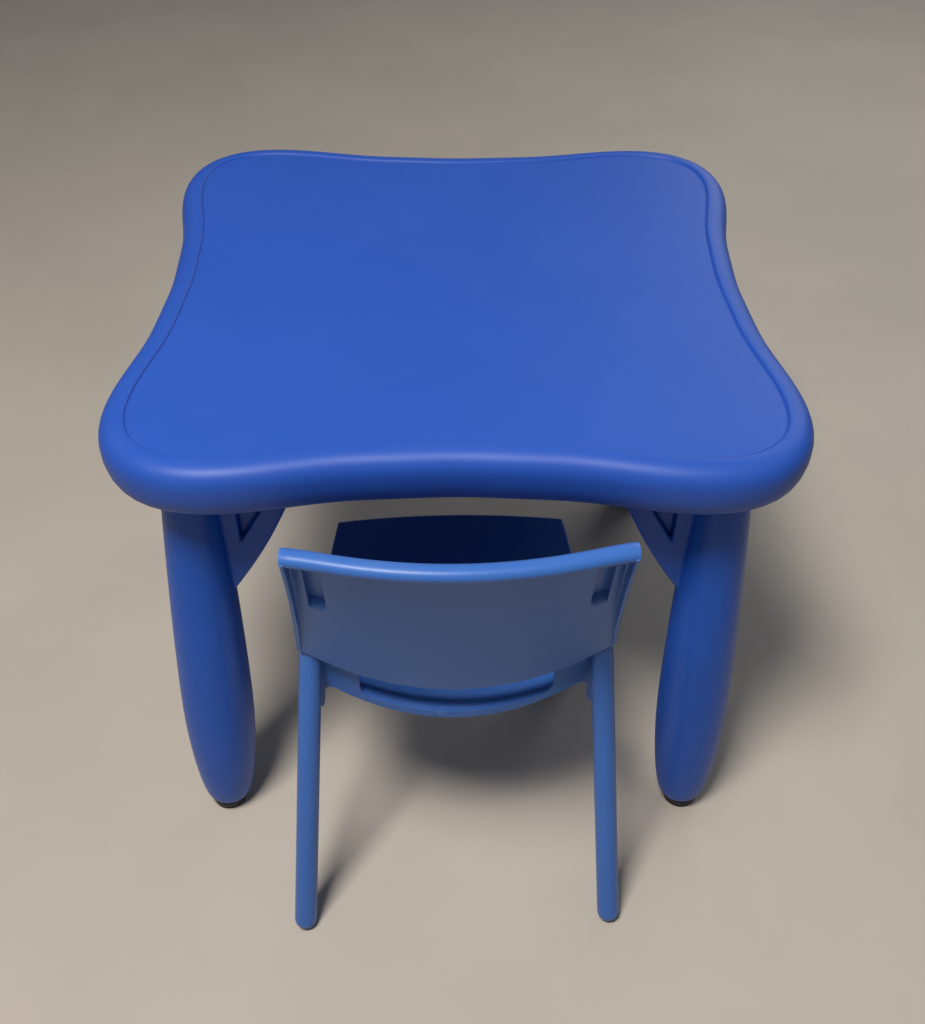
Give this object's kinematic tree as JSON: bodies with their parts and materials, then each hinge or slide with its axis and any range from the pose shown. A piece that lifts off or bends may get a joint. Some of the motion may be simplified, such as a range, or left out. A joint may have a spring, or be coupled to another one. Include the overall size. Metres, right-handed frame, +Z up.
{
  "type": "kids table and chair",
  "caption": "Wave-edged square play table on splayed club legs with screw-adjusted feet, and a low moulded stacking chair with a curved back standing at its front.",
  "frame": {"origin": "on the floor, at the centre of the box that holds the table and the chair as they stand", "axes": "+Z up, +X to the right of someone who stands behind the chair and looks at the table, +Y from the chair towards the table"},
  "size_m": [0.604, 0.7133, 0.508],
  "materials": {
    "table_plastic": "satin moulded polyethylene, fine orange-peel skin",
    "chair_plastic": "satin moulded polypropylene, lighter blue than the table",
    "foot_black": "ribbed black moulded plastic",
    "pad_rubber": "black rubber, slightly scuffed",
    "insert_brass": "turned brass",
    "screw_steel": "zinc-plated steel"
  },
  "bodies": {
    "table": {"tabletop": "table_plastic", "leg_front_left": "table_plastic", "leg_front_right": "table_plastic", "leg_rear_left": "table_plastic", "leg_rear_right": "table_plastic", "leg_screws": "screw_steel", "leg_inserts": "insert_brass", "foot_nut_front_left": "insert_brass", "foot_nut_front_right": "insert_brass", "foot_nut_rear_left": "insert_brass", "foot_nut_rear_right": "insert_brass"},
    "chair": {"chair_shell": "chair_plastic", "chair_glide_front_left": "pad_rubber", "chair_glide_front_right": "pad_rubber", "chair_glide_rear_left": "pad_rubber", "chair_glide_rear_right": "pad_rubber"},
    "pad_front_left": {"foot_pad_front_left": "pad_rubber"},
    "screw_front_left": {"foot_screw_front_left": "foot_black"},
    "pad_front_right": {"foot_pad_front_right": "pad_rubber"},
    "screw_front_right": {"foot_screw_front_right": "foot_black"},
    "pad_rear_left": {"foot_pad_rear_left": "pad_rubber"},
    "screw_rear_left": {"foot_screw_rear_left": "foot_black"},
    "pad_rear_right": {"foot_pad_rear_right": "pad_rubber"},
    "screw_rear_right": {"foot_screw_rear_right": "foot_black"}
  },
  "joints": [
    {"name": "chair_slide", "type": "slide", "parent": "table", "child": "chair", "axis": [0.0218, -0.9998, 0], "range_m": [-0.065, 0.45]},
    {"name": "foot_height_front_left", "type": "slide", "parent": "table", "child": "pad_front_left", "axis": [0, 0, -1], "range_m": [0, 0.012]},
    {"name": "foot_turn_front_left", "type": "hinge", "parent": "pad_front_left", "child": "screw_front_left", "pos_m": [-0.249, -0.19434, 0.01], "axis": [0, 0, 1], "range_deg": [-1450, 0]},
    {"name": "foot_height_front_right", "type": "slide", "parent": "table", "child": "pad_front_right", "axis": [0, 0, -1], "range_m": [0, 0.012]},
    {"name": "foot_turn_front_right", "type": "hinge", "parent": "pad_front_right", "child": "screw_front_right", "pos_m": [0.249, -0.19434, 0.01], "axis": [0, 0, 1], "range_deg": [-1450, 0]},
    {"name": "foot_height_rear_left", "type": "slide", "parent": "table", "child": "pad_rear_left", "axis": [0, 0, -1], "range_m": [0, 0.012]},
    {"name": "foot_turn_rear_left", "type": "hinge", "parent": "pad_rear_left", "child": "screw_rear_left", "pos_m": [-0.249, 0.30366, 0.01], "axis": [0, 0, 1], "range_deg": [-1450, 0]},
    {"name": "foot_height_rear_right", "type": "slide", "parent": "table", "child": "pad_rear_right", "axis": [0, 0, -1], "range_m": [0, 0.012]},
    {"name": "foot_turn_rear_right", "type": "hinge", "parent": "pad_rear_right", "child": "screw_rear_right", "pos_m": [0.249, 0.30366, 0.01], "axis": [0, 0, 1], "range_deg": [-1450, 0]}
  ],
  "couplings": [
    {"joint": "foot_turn_front_left", "follows": "foot_height_front_left", "rad_per_m": -2094.4},
    {"joint": "foot_turn_front_right", "follows": "foot_height_front_right", "rad_per_m": -2094.4},
    {"joint": "foot_turn_rear_left", "follows": "foot_height_rear_left", "rad_per_m": -2094.4},
    {"joint": "foot_turn_rear_right", "follows": "foot_height_rear_right", "rad_per_m": -2094.4}
  ]
}
